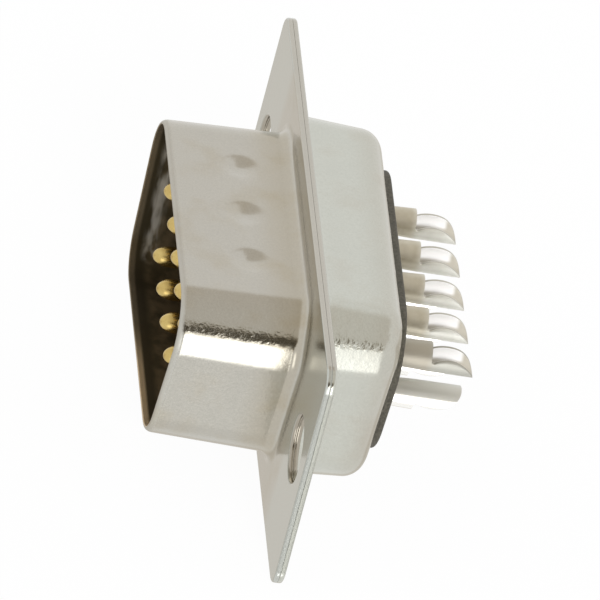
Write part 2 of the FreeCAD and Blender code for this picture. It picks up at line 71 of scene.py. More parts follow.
# Sizes that are read from the model.
FLANGE_END, FLANGE_TOP = box("front_shell")[1].xz
RIM = box("front_shell")[0].y
TRAY_END = box("rear_shell")[1].y
TAIL_END = box("rear_insulator")[1].y
PIN_TIP = box("contact_1")[0].y
COLLET_RADIUS = (box("contact_1")[1].x - box("contact_1")[0].x) / 2
PITCH = box("contact_2")[0].x - box("contact_1")[0].x

# The drawn sheets.
SHEET = 0.25
SIDE_ANGLE = 10.0
FLANGE_CORNER = 1.0
FLANGE_ROLL = 0.12
SEAM_ROUND = 0.03
HOLE_PLACE, HOLE_RADIUS, HOLE_ROLL = 12.495, 1.6, 0.18
COLLAR_WIDTH, COLLAR_HEIGHT, COLLAR_CORNER = 17.55, 8.75, 2.25
COLLAR_DRAFT, COLLAR_ROOT = 1.6, 0.6
RIM_ROLL, RIM_ROLL_LENGTH, RIM_BURR = 0.2, 0.36, 0.03
TRAY_WIDTH, TRAY_HEIGHT, TRAY_CORNER = 19.05, 10.72, 2.5
TRAY_DRAFT, TRAY_ROOT, TRAY_EDGE = 3.8, 0.4, 1.1
OPENING_WIDTH, OPENING_HEIGHT, OPENING_CORNER = 15.9, 8.3, 2.75
DIMPLE_PITCH, DIMPLE_PLACE, DIMPLE_DEPTH, DIMPLE_REACH = 3.9, -2.65, 0.15, 1.1
WIDE_DIMPLES, NARROW_DIMPLES = 3, 2

# The insulator's two mouldings.
FACE, SPLIT, COLLET_START, COLLET_END = 0.05, 2.2, 1.3, 2.9
BOSS_PLAY, SHOULDER_PLAY, TAIL_PLAY, BORE_PLAY = 0.12, 0.06, 0.05, 0.04
TAIL_EDGE, MOULD_ROUND, SHOULDER_TURN = 0.12, 0.04, 65.0
RECESS_RADIUS, RECESS_DEPTH = 1.1, 0.25

# The contacts: pins in two rows, each with a cup that is set outwards from the pin's line.
WIDE_ROW, NARROW_ROW, ROW_PITCH = 5, 4, 2.84
TWIST, TWIST_SEED = 2.5, 4
PIN_RADIUS, PIN_NOSE, NECK_RADIUS = 0.51, 0.8, 0.7
ROOT_RADIUS, CUP_RADIUS, CUP_BORE, CUP_OFFSET = 0.67, 0.73, 0.54, 0.2
CUP_FLOOR, CUP_NOTCH, NOTCH_ROUND, CUP_REACH = 5.5, 6.65, 0.14, 8.95
CUP_POINT, CREST_HEIGHT, LIP_RADIUS, LIP_ROUND = 0.1, 0.26, 1.4, 0.035

# A lip's round takes at most this share of the wall, and its middle is cut in by this share of its radius.
LIP_SHARE, LIP_CUT = 0.4, 0.3

# Width of the flat border beside a round edge, which keeps the shading of the flat clean.
BORDER = 0.05

# How finely shapes are drawn: spacing on straight sides, degrees in a corner, and steps round a circle.
STEP, FINE_STEP, CORNER_STEP = 0.5, 0.14, 4
HOLE_SIDES, BORE_SIDES, CUP_STEPS, BARREL_STEPS = 64, 48, 40, 28

# Points closer than MERGE become one, and faces that meet at more than CREASE keep a crease. An outline's
# direction belongs to a flat side if its Z is FLAT_SIDE or more.
MERGE, CREASE, FLAT_SIDE = 0.001, 40.0, 0.999

# The camera: its axes, distance and sensor, then the photograph's width, its scale and the origin's pixel.
CAMERA_RIGHT = Vector((0.06464, 0.97398, 0.21722))
CAMERA_DOWN = Vector((0.57327, 0.14193, -0.80698))
CAMERA_FORWARD = Vector((-0.81681, 0.17669, -0.54918))
CAMERA_DISTANCE, SENSOR = 943.0, 36.0
PIXELS, PIXELS_PER_MM, ORIGIN_PIXEL = 600, 20.912, (278.932, 297.036)


class Wire:
    """A socket of a node tree. Arithmetic on it adds Math nodes."""

    def __init__(self, tree, socket):
        self.tree = tree
        self.socket = socket

    def calc(self, operation, *others):
        """A Math node on this value and others."""
        return self.tree.add("ShaderNodeMath", {"operation": operation}, dict(enumerate((self, *others))))

    def __add__(self, other):
        return self.calc("ADD", other)

    def __sub__(self, other):
        return self.calc("SUBTRACT", other)

    def __rsub__(self, other):
        return self.calc("MULTIPLY_ADD", -1.0, other)

    def __mul__(self, other):
        return self.calc("MULTIPLY", other)

    def __abs__(self):
        return self.calc("ABSOLUTE")

    __radd__ = __add__
    __rmul__ = __mul__

    def rises(self, low, high):
        """Smooth step from 0 at low to 1 at high; low may be the larger one."""
        if low > high:
            return 1 - self.rises(high, low)
        values = {"Value": self, "From Min": low, "From Max": high}
        return self.tree.add("ShaderNodeMapRange", {"interpolation_type": "SMOOTHSTEP"}, values)

    def passes(self, start, done, place=0.0):
        """Smooth step from 0 at start to 1 at done, both in millimetres and counted from a place."""
        return self.rises((place + start) * MM, (place + done) * MM)

    def parts(self):
        """X, Y and Z of a vector."""
        split = self.tree.add("ShaderNodeSeparateXYZ", {}, {0: self})
        return [Wire(self.tree, socket) for socket in split.socket.node.outputs]

    def output(self, name):
        """Another output of the same node."""
        return Wire(self.tree, self.socket.node.outputs[name])


class Tree:
    """A node tree that is built by one method."""

    def __init__(self, tree):
        self.tree = tree
        tree.nodes.clear()

    def add(self, kind, settings=None, values=None, output=0):
        """Output of a new node, from its type, its settings and the values or links of its sockets."""
        node = self.tree.nodes.new(kind)
        for key, value in (settings or {}).items():
            setattr(node, key, value)
        for key, value in (values or {}).items():
            for one in value if isinstance(value, list) else [value]:
                if isinstance(one, Wire):
                    self.tree.links.new(one.socket, node.inputs[key])
                else:
                    node.inputs[key].default_value = one
        return Wire(self, node.outputs[output] if len(node.outputs) else None)

    def mix(self, factor, first, second):
        """Blend of two colours."""
        values = {0: factor, 6: first, 7: second}
        return self.add("ShaderNodeMix", {"data_type": "RGBA"}, values, output=2)

    def shade(self, colour, factor):
        """A colour made lighter or darker by a factor."""
        return self.add("ShaderNodeVectorMath", {"operation": "SCALE"}, {0: colour, "Scale": factor})

    def place(self):
        """Where a point is on the connector, in metres."""
        return self.add("ShaderNodeTexCoord", output="Object")

    def noise(self, size, detail, roughness, stretch=(1, 1, 1)):
        """Noise whose blotches are size millimetres across, longer along an axis by stretch."""
        scale = tuple(1 / (size * MM * s) for s in stretch)
        point = self.add("ShaderNodeMapping", {}, {"Vector": self.place(), "Scale": scale})
        values = {"Vector": point, "Scale": 1.0, "Detail": detail, "Roughness": roughness}
        return self.add("ShaderNodeTexNoise", {}, values)

    def bump(self, height, depth, under=None):
        """Bump of a height from 0 to 1 that stands depth millimetres high."""
        values = {"Height": height, "Distance": depth * MM, "Strength": 1.0}
        if under:
            values["Normal"] = under
        return self.add("ShaderNodeBump", {}, values)


def turned(angle):
    """Unit vector in the X-Z plane, its angle in degrees from +Z towards +X."""
    return Vector((math.sin(math.radians(angle)), math.cos(math.radians(angle))))


def outline(corners, radius, step):
    """Points round a closed outline with straight sides and round corners, each with its outward direction.

    A corner is its middle and the two angles that it turns between; step is the spacing on the sides.
    """
    points = []
    for k, (middle, first, last) in enumerate(corners):
        turns = round((last - first) / CORNER_STEP)
        for i in range(turns + 1):
            normal = turned(first + (last - first) * i / turns)
            points.append((middle + normal * radius, normal))
        following = corners[(k + 1) % len(corners)][0]
        runs = max(1, round((following - middle).length / step))
        for i in range(1, runs):
            points.append((middle.lerp(following, i / runs) + normal * radius, normal))
    return points


def d_outline(width, height, corner, step=STEP):
    """D with its wide side up and leaning sides. Its width is that of its widest part."""
    lean = math.tan(math.radians(SIDE_ANGLE))
    high = Vector((width / 2 - corner, height / 2 - corner))
    low = Vector((high.x - 2 * high.y * lean, -high.y))
    mirror = Vector((-1, 1))
    corners = [(high, 0, 90 + SIDE_ANGLE), (low, 90 + SIDE_ANGLE, 180)]
    corners += [(low * mirror, 180, 270 - SIDE_ANGLE), (high * mirror, 270 - SIDE_ANGLE, 360)]
    return outline(corners, corner, step)


def flange_outline():
    """Outline of both flanges: a rectangle with round corners."""
    x, z = FLANGE_END - FLANGE_CORNER, FLANGE_TOP - FLANGE_CORNER
    middles = (x, z), (x, -z), (-x, -z), (-x, z)
    corners = [(Vector(middle), 90 * k, 90 * k + 90) for k, middle in enumerate(middles)]
    return outline(corners, FLANGE_CORNER, 2 * STEP)


def circle(x, z, radius, count):
    """Points round a circle, each with its outward direction."""
    normals = [turned(360 * k / count) for k in range(count)]
    return [(Vector((x, z)) + normal * radius, normal) for normal in normals]


def arc(middle, radius, first, last, steps=6, length=None):
    """Arc in a cross-section of offset and Y. Its angles run from outwards (0) towards the wires (90).

    length is its radius along Y where that is another one.
    """
    angles = [math.radians(first + (last - first) * k / steps) for k in range(steps + 1)]
    reach = length or radius
    return [(middle[0] + radius * math.cos(a), middle[1] + reach * math.sin(a)) for a in angles]


def spread(first, last, step):
    """Even values from first to last, both included."""
    count = max(1, round(abs(last - first) / step))
    return [first + (last - first) * k / count for k in range(count + 1)]


def sweep(form, line, profile, dent=None):
    """Skin round an outline, drawn at each offset and Y of the profile. Gives its first and last ring.

    dent may give how deep the skin is pressed in at a point, from its outward direction and its Y.
    """
    rings = []
    for offset, y in profile:
        ring = []
        for point, normal in line:
            depth = dent(point, normal, y) if dent else 0
            x, z = point + normal * (offset - depth)
            ring.append(form.verts.new((x * MM, y * MM, z * MM)))
        rings.append(ring)
    for near, far in zip(rings, rings[1:]):
        join(form, near + near[:1], far + far[:1])
    return rings[0], rings[-1]


def join(form, near, far):
    """Quads between two rows of points."""
    for a, b, c, d in zip(near, near[1:], far[1:], far):
        form.faces.new((a, b, c, d))


def fill(form, *rings):
    """Flat sheet between rings that lie in one plane across Y."""
    pairs = [pair for ring in rings for pair in zip(ring, ring[1:] + ring[:1])]
    edges = [form.edges.get(pair) for pair in pairs]
    bmesh.ops.triangle_fill(form, edges=edges, use_beauty=True, normal=(0, 1, 0))


def cut_edge(front, back, front_round, back_round):
    """Cross-section of a plate's edge from its front face to its back face."""
    return [
        (-front_round - BORDER, front),
        *arc((-front_round, front + front_round), front_round, -90, 0, steps=5),
        *arc((-back_round, back - back_round), back_round, 0, 90, steps=4),
        (-back_round - BORDER, back),
    ]


def bored_edge(front, back, front_round, back_round):
    """Cross-section of a hole's edge in a plate, where outwards is into the plate."""
    return [(-offset, y) for offset, y in cut_edge(front, back, front_round, back_round)]


def flange_rings(form, front, back, front_rolled):
    """Outer edge and two hole edges of a flange. Gives their rings on its front and on its back face."""
    rounds = (FLANGE_ROLL, SEAM_ROUND) if front_rolled else (SEAM_ROUND, FLANGE_ROLL)
    bored = (HOLE_ROLL, SEAM_ROUND) if front_rolled else (SEAM_ROUND, HOLE_ROLL)
    rings = [sweep(form, flange_outline(), cut_edge(front, back, *rounds))]
    for x in (-HOLE_PLACE, HOLE_PLACE):
        hole = circle(x, 0, HOLE_RADIUS, HOLE_SIDES)
        rings.append(sweep(form, hole, bored_edge(front, back, *bored)))
    return list(zip(*rings))


def collar_dent(point, normal, y):
    """Depth of the collar's soft round dimples at a point of its wide or narrow side."""
    if abs(normal.y) < FLAT_SIDE:
        return 0
    count = WIDE_DIMPLES if normal.y > 0 else NARROW_DIMPLES
    nearest = min(abs(point.x - (k - (count - 1) / 2) * DIMPLE_PITCH) for k in range(count))
    away = math.hypot(nearest, y - DIMPLE_PLACE) / DIMPLE_REACH
    return DIMPLE_DEPTH * (1 - away ** 2) ** 2 if away < 1 else 0


def collar_wall(y, inset=0.0):
    """The collar's outside at y, as an offset from its D, moved in by an inset."""
    return (y - RIM) * math.tan(math.radians(COLLAR_DRAFT)) - inset


def front_shell(form):
    """Flange and collar, with the collar's root bend, rolled rim and dimples."""
    stretch = 1 / math.cos(math.radians(COLLAR_DRAFT))
    bend, rim, burr = -COLLAR_ROOT, RIM + RIM_ROLL_LENGTH, RIM + RIM_BURR
    inner_bend = COLLAR_ROOT + SHEET
    outside = collar_wall(bend) + COLLAR_ROOT * stretch
    inside = collar_wall(bend, SHEET) + inner_bend * stretch
    rows = spread(bend - BORDER, rim + BORDER, FINE_STEP)
    profile = [
        (outside + BORDER, 0),
        *arc((outside, bend), COLLAR_ROOT, 90, 180 - COLLAR_DRAFT, steps=16),
        *((collar_wall(y), y) for y in rows),
        *arc((collar_wall(rim) - RIM_ROLL, rim), RIM_ROLL, 0, -90, steps=10, length=RIM_ROLL_LENGTH),
        *arc((collar_wall(burr, SHEET) + RIM_BURR, burr), RIM_BURR, -90, -180, steps=3),
        (collar_wall(burr + BORDER, SHEET), burr + BORDER),
        *((collar_wall(y, SHEET), y) for y in reversed(rows)),
        *arc((inside, bend), inner_bend, 180 - COLLAR_DRAFT, 90, steps=16),
        (inside + BORDER, SHEET),
    ]
    line = d_outline(COLLAR_WIDTH, COLLAR_HEIGHT, COLLAR_CORNER, FINE_STEP)
    collar = sweep(form, line, profile, collar_dent)
    front, back = flange_rings(form, 0, SHEET, True)
    fill(form, *front, collar[0])
    fill(form, *back, collar[1])


def tray_wall(y, inset=0.0):
    """The tray's outside at y, as an offset from its D, moved in by an inset."""
    return -(y - 2 * SHEET) * math.tan(math.radians(TRAY_DRAFT)) - inset


def tray_side(inset, root_round, end_round, end_steps):
    """Cross-section of one side of the tray's sheet, from the flange to the mouth, with its two bends."""
    stretch = 1 / math.cos(math.radians(TRAY_DRAFT))
    root, end = 2 * SHEET + TRAY_ROOT, TRAY_END - TRAY_EDGE
    root_middle = tray_wall(root, inset) + root_round * stretch, root
    end_middle = tray_wall(end, inset) - end_round * stretch, end
    side = [
        *arc(root_middle, root_round, -90, TRAY_DRAFT - 180, steps=14),
        *((tray_wall(y, inset), y) for y in spread(root + BORDER, end - BORDER, STEP)),
        *arc(end_middle, end_round, TRAY_DRAFT, 90, steps=end_steps),
    ]
    return [(side[0][0] + BORDER, 2 * SHEET - inset), *side, (side[-1][0] - BORDER, TRAY_END - inset)]


def rear_shell(form):
    """Flange and tray, with the tray's root bend, end bend and mouth."""
    outside = tray_side(0.0, TRAY_ROOT, TRAY_EDGE, end_steps=18)
    inside = tray_side(SHEET, TRAY_ROOT + SHEET, TRAY_EDGE - SHEET, end_steps=14)
    line = d_outline(TRAY_WIDTH, TRAY_HEIGHT, TRAY_CORNER)
    outer, inner = sweep(form, line, outside), sweep(form, line, inside[::-1])
    mouth = d_outline(OPENING_WIDTH, OPENING_HEIGHT, OPENING_CORNER)
    opening = sweep(form, mouth, bored_edge(TRAY_END - SHEET, TRAY_END, SEAM_ROUND, SEAM_ROUND))
    front, back = flange_rings(form, SHEET, 2 * SHEET, False)
    fill(form, *front, inner[1])
    fill(form, *back, outer[0])
    fill(form, inner[0], opening[0])
    fill(form, outer[1], opening[1])


def contact_places():
    """X, Z and side of each contact: the wide row on top, then the narrow row."""
    rows = ((WIDE_ROW, 1), (NARROW_ROW, -1))
    return [((k - (n - 1) / 2) * PITCH, side * ROW_PITCH / 2, side) for n, side in rows for k in range(n)]


def bored(form, profile, outwards=0.0):
    """A hole for each contact, from a profile of radius and Y. Gives all first rings and all last rings."""
    holes = []
    for x, z, side in contact_places():
        holes.append(sweep(form, circle(x, z + side * outwards, 0, BORE_SIDES), profile))
    return list(zip(*holes))


def shoulder_wall(y):
    """The insulator's outside in the tray, as an offset from the tray's D."""
    return tray_wall(y + SHEET, SHEET + SHOULDER_PLAY)


def front_insulator(form):
    """Mating half of the moulding: boss in the collar, shoulder in the tray, a bore for each contact."""
    inset = SHEET + BOSS_PLAY - collar_wall(0)
    boss_width, boss_height = COLLAR_WIDTH - 2 * inset, COLLAR_HEIGHT - 2 * inset
    face_edge = FACE + MOULD_ROUND
    boss = sweep(form, d_outline(boss_width, boss_height, COLLAR_CORNER - SHEET), [
        (-MOULD_ROUND - BORDER, FACE),
        *arc((-MOULD_ROUND, face_edge), MOULD_ROUND, -90, 0, steps=4),
        (0, SHEET), (BORDER, SHEET),
    ])
    near, far = shoulder_wall(SHEET), shoulder_wall(SPLIT)
    shoulder = sweep(form, d_outline(TRAY_WIDTH, TRAY_HEIGHT, TRAY_CORNER), [
        (near - BORDER, SHEET), (near, SHEET), (far, SPLIT), (far - BORDER, SPLIT),
    ])
    floor, neck, collet = FACE + RECESS_DEPTH, NECK_RADIUS + BORE_PLAY, COLLET_RADIUS + BORE_PLAY
    front, back = bored(form, [
        (RECESS_RADIUS + MOULD_ROUND + BORDER, FACE),
        *arc((RECESS_RADIUS + MOULD_ROUND, face_edge), MOULD_ROUND, -90, -180, steps=4),
        (RECESS_RADIUS, floor), (neck + MOULD_ROUND, floor), (neck, floor + MOULD_ROUND),
        (neck, COLLET_START), (collet, COLLET_START), (collet, SPLIT), (collet + BORDER, SPLIT),
    ])
    fill(form, boss[0], *front)
    fill(form, boss[1], shoulder[0])
    fill(form, shoulder[1], *back)


def rear_insulator(form):
    """Wire half of the moulding: shoulder in the tray, and a tail that stands out of the tray's mouth."""
    edge = TRAY_END - SHEET - TRAY_EDGE
    end = shoulder_wall(edge) - TRAY_EDGE / math.cos(math.radians(TRAY_DRAFT))
    bend = arc((end, edge), TRAY_EDGE, TRAY_DRAFT, SHOULDER_TURN, steps=10)
    near = shoulder_wall(SPLIT)
    far, step = bend[-1]
    shoulder = sweep(form, d_outline(TRAY_WIDTH, TRAY_HEIGHT, TRAY_CORNER), [
        (near - BORDER, SPLIT), (near, SPLIT), *bend, (far - BORDER, step),
    ])
    play = 2 * TAIL_PLAY
    tail_line = d_outline(OPENING_WIDTH - play, OPENING_HEIGHT - play, OPENING_CORNER - TAIL_PLAY)
    tail = sweep(form, tail_line, [
        (BORDER, step), (0, step), *arc((-TAIL_EDGE, TAIL_END - TAIL_EDGE), TAIL_EDGE, 0, 90),
        (-TAIL_EDGE - BORDER, TAIL_END),
    ])
    root, collet, lead = ROOT_RADIUS + BORE_PLAY, COLLET_RADIUS + BORE_PLAY, TAIL_END - MOULD_ROUND
    seats = bored(form, [(collet + BORDER, SPLIT), (collet, SPLIT), (collet, COLLET_END)])
    holes = bored(form, [
        (root, COLLET_END),
        *arc((root + MOULD_ROUND, lead), MOULD_ROUND, 180, 90, steps=3),
        (root + MOULD_ROUND + BORDER, TAIL_END),
    ], CUP_OFFSET)
    for seat, hole in zip(seats[1], holes[0]):
        fill(form, seat, hole)
    fill(form, shoulder[0], *seats[0])
    fill(form, shoulder[1], tail[0])
    fill(form, tail[1], *holes[1])


def lathe(form, profile):
    """Solid turned about the Y axis from radius and Y; it starts and ends on the axis."""
    start, *rest, stop = profile
    rings = sweep(form, circle(0, 0, 0, BORE_SIDES), rest)
    for ring, (_, y) in zip(rings, (start, stop)):
        cap(form, ring, form.verts.new((0, y * MM, 0)))


def cap(form, ring, pole):
    """Fan of triangles that closes a ring at a point."""
    for a, b in zip(ring, ring[1:] + ring[:1]):
        form.faces.new((a, b, pole))


def lip_curve():
    """Y and height above the cup's middle along the lip: the notch's round corner, the arch and the tip."""
    arch_y, arch_z = CUP_REACH - LIP_RADIUS, CREST_HEIGHT - LIP_RADIUS
    far = LIP_RADIUS + NOTCH_ROUND
    run = arch_y - CUP_NOTCH - NOTCH_ROUND
    rise = math.sqrt(far ** 2 - run ** 2)
    start = math.degrees(math.atan2(rise, -run))
    stop = math.degrees(math.asin((-CUP_RADIUS - arch_z) / LIP_RADIUS))
    corner = arc((CUP_NOTCH + NOTCH_ROUND, arch_z + rise), NOTCH_ROUND, 180, start + 180)
    return corner + arc((arch_y, arch_z), LIP_RADIUS, start, stop, steps=44)[1:]


def cup_section(height):
    """Outer arc, right lip and inner arc of the cup, as X and Z, where its lip is at a height."""
    outer_x = math.sqrt(max(CUP_RADIUS ** 2 - height ** 2, 0))
    inner_x = math.sqrt(max(CUP_BORE ** 2 - height ** 2, 0)) if height > -CUP_BORE else 0
    soft = min(LIP_ROUND, LIP_SHARE * (outer_x - inner_x), LIP_SHARE * (CUP_RADIUS + height))
    inner_soft = min(soft, inner_x)
    outer = bottom_arc(CUP_RADIUS, height - soft)
    inner = bottom_arc(CUP_BORE, height - inner_soft) if inner_x else [(0, height)] * len(outer)
    cut, inner_cut = LIP_CUT * soft, LIP_CUT * inner_soft
    lip = [
        (outer_x - cut, height - cut), (outer_x - soft, height),
        (inner_x + inner_soft, height), (inner_x + inner_cut, height - inner_cut),
    ]
    return outer, lip, inner


def bottom_arc(radius, height):
    """Arc round the bottom of a circle, from its left end to its right end at a height."""
    reach = math.acos(max(-1.0, min(1.0, -height / radius)))
    angles = [reach * (2 * k / CUP_STEPS - 1) for k in range(CUP_STEPS + 1)]
    return [(radius * math.sin(a), -radius * math.cos(a)) for a in angles]


def top_arc(radius, height):
    """The rest of such a circle, from its right end over the top to its left end, without the ends."""
    reach = math.acos(-height / radius)
    angles = [reach + (2 * math.pi - 2 * reach) * k / BARREL_STEPS for k in range(1, BARREL_STEPS)]
    return [(radius * math.sin(a), -radius * math.cos(a)) for a in angles]


def cup_points(form, spots, y, scale=1.0):
    """Points of a cup's cross-section at Y, from X and Z about the cup's middle."""
    return [form.verts.new((x * scale * MM, y * MM, (z * scale + CUP_OFFSET) * MM)) for x, z in spots]


def barrel(form, outer, inner):
    """Root and full round part of a cup, up to its notch. Gives the last ring outside and in the bore."""
    root = ROOT_RADIUS / CUP_RADIUS
    shape = outer + top_arc(CUP_RADIUS, outer[0][1])
    places = (SPLIT, root), (TAIL_END, root), (CUP_NOTCH, 1.0)
    outside = [cup_points(form, shape, y, scale) for y, scale in places]
    shape = inner + top_arc(CUP_BORE, inner[0][1])
    inside = [cup_points(form, shape, y) for y in (CUP_FLOOR, CUP_NOTCH)]
    for near, far in (*zip(outside, outside[1:]), *zip(inside, inside[1:])):
        join(form, near + near[:1], far + far[:1])
    cap(form, outside[0], form.verts.new((0, SPLIT * MM, CUP_OFFSET * MM)))
    cap(form, inside[0], form.verts.new((0, (CUP_FLOOR - CUP_POINT) * MM, CUP_OFFSET * MM)))
    return outside[-1], inside[-1]


def cup(form):
    """Root and solder cup of a contact: round up to the notch, then a section at each point of the lip."""
    (y, height), *curve = lip_curve()
    outer, lip, inner = cup_section(height)
    rings = barrel(form, outer, inner)
    low = len(outer)
    join(form, *(ring[low - 1:] + ring[:1] for ring in rings))
    arcs = [ring[:low] for ring in rings]
    sides = section_rows(form, arcs, lip, y)
    for row in sides:
        form.faces.new(row)
    for y, height in curve:
        outer, lip, inner = cup_section(height)
        new_arcs = [cup_points(form, outer, y), cup_points(form, inner, y)]
        new_sides = section_rows(form, new_arcs, lip, y)
        for near, far in zip(arcs + sides, new_arcs + new_sides):
            join(form, near, far)
        arcs, sides = new_arcs, new_sides


def section_rows(form, arcs, lip, y):
    """Points across the right lip and the left lip, from the outer arc's end to the inner arc's end."""
    rows = []
    for side, end in ((1, -1), (-1, 0)):
        middle = cup_points(form, [(side * x, z) for x, z in lip], y)
        rows.append([arcs[0][end], *middle, arcs[1][end]])
    return rows


def contact(form):
    """One contact about its pin's line: pin, neck and collet turned in one piece, and the cup behind."""
    floor = FACE + RECESS_DEPTH
    lathe(form, [
        (0, PIN_TIP), *arc((0, PIN_TIP + PIN_NOSE), PIN_RADIUS, -90, 0, steps=16, length=PIN_NOSE)[1:],
        (PIN_RADIUS, floor), (NECK_RADIUS, floor), (NECK_RADIUS, COLLET_START),
        (COLLET_RADIUS, COLLET_START), (COLLET_RADIUS, COLLET_END), (0, COLLET_END),
    ])
    cup(form)


def new_object(name, build, finish=None):
    """Object made by a building function, its normals outwards and a crease where faces meet sharply."""
    form = bmesh.new()
    build(form)
    bmesh.ops.remove_doubles(form, verts=form.verts, dist=MERGE * MM)
    bmesh.ops.recalc_face_normals(form, faces=form.faces)
    mesh = bpy.data.meshes.new(name)
    form.to_mesh(mesh)
    form.free()
    mesh.shade_smooth()
    mesh.set_sharp_from_angle(angle=math.radians(CREASE))
    if finish:
        mesh.materials.append(finish)
    made = bpy.data.objects.new(name, mesh)
    bpy.context.scene.collection.objects.link(made)
    return made


def contact_row(tree, given, form, count, side):
    """A row of contacts on a line of points, each with a small twist, turned over on the narrow side."""
    pitch = given.output("Pitch")
    first = {"X": (count - 1) * pitch * -0.5, "Z": given.output("Row pitch") * (side / 2)}
    line = tree.add("GeometryNodeMeshLine", {"mode": "OFFSET"}, {
        "Count": count, "Start Location": tree.add("ShaderNodeCombineXYZ", {}, first),
        "Offset": tree.add("ShaderNodeCombineXYZ", {}, {"X": pitch}),
    })
    share = tree.add("FunctionNodeRandomValue", {"data_type": "FLOAT"}, {
        2: -1.0, 3: 1.0, "Seed": given.output("Seed") + side,
    }, output=1)
    over = math.radians(90 - 90 * side)
    turn = tree.add("ShaderNodeCombineXYZ", {}, {"Y": share * given.output("Twist") + over})
    values = {"Points": line, "Instance": form, "Rotation": turn}
    return tree.add("GeometryNodeInstanceOnPoints", {}, values)


def contact_rows(form, made):
    """Node tree that sets the contact on its two rows, and the values of its inputs."""
    group = bpy.data.node_groups.new("contact_rows", "GeometryNodeTree")
    values = {
        "Pitch": ("NodeSocketFloat", PITCH * MM), "Row pitch": ("NodeSocketFloat", ROW_PITCH * MM),
        "Wide row": ("NodeSocketInt", WIDE_ROW), "Narrow row": ("NodeSocketInt", NARROW_ROW),
        "Twist": ("NodeSocketFloat", math.radians(TWIST)), "Seed": ("NodeSocketInt", TWIST_SEED),
        "Contact": ("NodeSocketObject", form), "Plating": ("NodeSocketMaterial", made),
    }
    sockets = {}
    for name, (kind, _) in values.items():
        sockets[name] = group.interface.new_socket(name, socket_type=kind)
    group.interface.new_socket("Geometry", in_out="OUTPUT", socket_type="NodeSocketGeometry")
    tree = Tree(group)
    given = tree.add("NodeGroupInput")
    shape = tree.add("GeometryNodeObjectInfo", {}, {"Object": given.output("Contact")}, output="Geometry")
    rows = [
        contact_row(tree, given, shape, given.output("Wide row"), 1),
        contact_row(tree, given, shape, given.output("Narrow row"), -1),
    ]
    joined = tree.add("GeometryNodeJoinGeometry", {}, {"Geometry": rows})
    real = tree.add("GeometryNodeRealizeInstances", {}, {"Geometry": joined})
    plating = {"Geometry": real, "Material": given.output("Plating")}
    plated = tree.add("GeometryNodeSetMaterial", {}, plating)
    tree.add("NodeGroupOutput", {}, {"Geometry": plated})
    return group, {sockets[name].identifier: value for name, (_, value) in values.items()}


def contacts(made):
    """All contacts as one plain mesh, worked out by the geometry nodes."""
    form = new_object("contact_form", contact)
    host = new_object("contacts", lambda _: None)
    modifier = host.modifiers.new("rows", "NODES")
    modifier.node_group, values = contact_rows(form, made)
    for identifier, value in values.items():
        modifier[identifier] = value
    graph = bpy.context.evaluated_depsgraph_get()
    mesh = bpy.data.meshes.new_from_object(host.evaluated_get(graph), depsgraph=graph)
    host.modifiers.remove(modifier)
    host.data = mesh
    bpy.data.objects.remove(form)
    return host


def colour(red, green, blue):
    """Linear colour from the sRGB values that it has on screen, 0 to 255."""
    def linear(value):
        value /= 255
        return value / 12.92 if value <= 0.04045 else ((value + 0.055) / 1.055) ** 2.4
    return (linear(red), linear(green), linear(blue), 1.0)


def material(name):
    """New material and its empty node tree."""
    made = bpy.data.materials.new(name)
    made.use_nodes = True
    return made, Tree(made.node_tree)


def finish_material(tree, values):
    """Shader with the values or links of its sockets, as the surface."""
    surface = tree.add("ShaderNodeBsdfPrincipled", {}, values)
    tree.add("ShaderNodeOutputMaterial", {}, {"Surface": surface})


def distance(first, second):
    """Length of the diagonal of two distances that are square to each other."""
    return (first * first + second * second).calc("SQRT")


# In the finishes, a noise is its size in millimetres, its detail and its roughness. Blotches are the two
# values of a noise that a change happens between. A place is a pair: where a soft change starts and where
# it is done, in millimetres, from the middle or from the size it is used with.

# Plating of the drawn sheets: colours, noises and heights of bumps.
# The second colour of each wall is used for random smudges and also as painted shade: near the collar's
# root on the front shell, towards the tray's end on the rear.
WARM_WALL, WARM_STAIN_AND_SHADE = colour(188, 184, 174), colour(176, 168, 150)
REAR_WALL, REAR_STAIN_AND_SHADE = colour(200, 201, 192), colour(188, 184, 172)
# The holes' wall colour is painted shade: tan, darker than the flange.
COOL_FLANGE, HOLE_WALL_SHADE = colour(194, 196, 190), colour(158, 148, 132)
SHEET_SMUDGE, SHEET_GRAIN, SHEET_BLOTCHES = (2.4, 3.0, 0.55), (0.11, 2.0, 0.6), (0.45, 0.75)
SKIN, SKIN_BUMP = (0.22, 3.0, 0.6), 0.0035
PEBBLES, PEBBLE_BUMP = (0.34, 2.0, 0.6), 0.027

# Places on the sheets: along X, along Y, and from an edge, a hole or the rim.
FLANGE_ENDS, COLLAR_ENDS = (9.5, 10.8), (6.6, 8.2)
FLANGE_FACES, UNSHADED_FACES, PEBBLED_WALL = (0.6, 0.5), (0.25, 0.08), (0.5, 0.8)
EDGE_BAND, SHEARED_HEIGHT, HOLE_BAND, RIM_BAND = (-0.08, -0.03), (-0.9, -1.1), (0.12, 0.05), (0.3, 0.12)

# The pebbled part of a corner, from the middle of its bend: by distance, outwards and upwards.
PEBBLED_SKIN, PEBBLED_SIDE, PEBBLED_TOP = (2.17, 2.2), (1.0, 1.4), (0.85, 1.1)

# Shares of a second colour: the flange's at the collar's ends and on the flange, the smudge colour's in
# random smudges, what the painted shade loses on the flange's faces, and the painted shade on the holes'
# walls.
COLLAR_COOL, FLANGE_COOL, SMUDGE_SHARE, UNSHADED_SHARE, HOLE_SHARE = 0.3, 0.7, 0.5, 0.75, 0.8

# Each shell's colours for its wall, its smudges and painted shade, and the ends of its flange, the X and Z
# that its corner bends about, the place along Y of its painted shade, and that shade's share.
FRONT_PLATING = (WARM_WALL, WARM_STAIN_AND_SHADE, COOL_FLANGE), (6.525, 2.125), (2.6, 0.7), 0.6
REAR_PLATING = (REAR_WALL, REAR_STAIN_AND_SHADE, REAR_WALL), (7.025, 2.86), (2.4, 4.6), 0.7


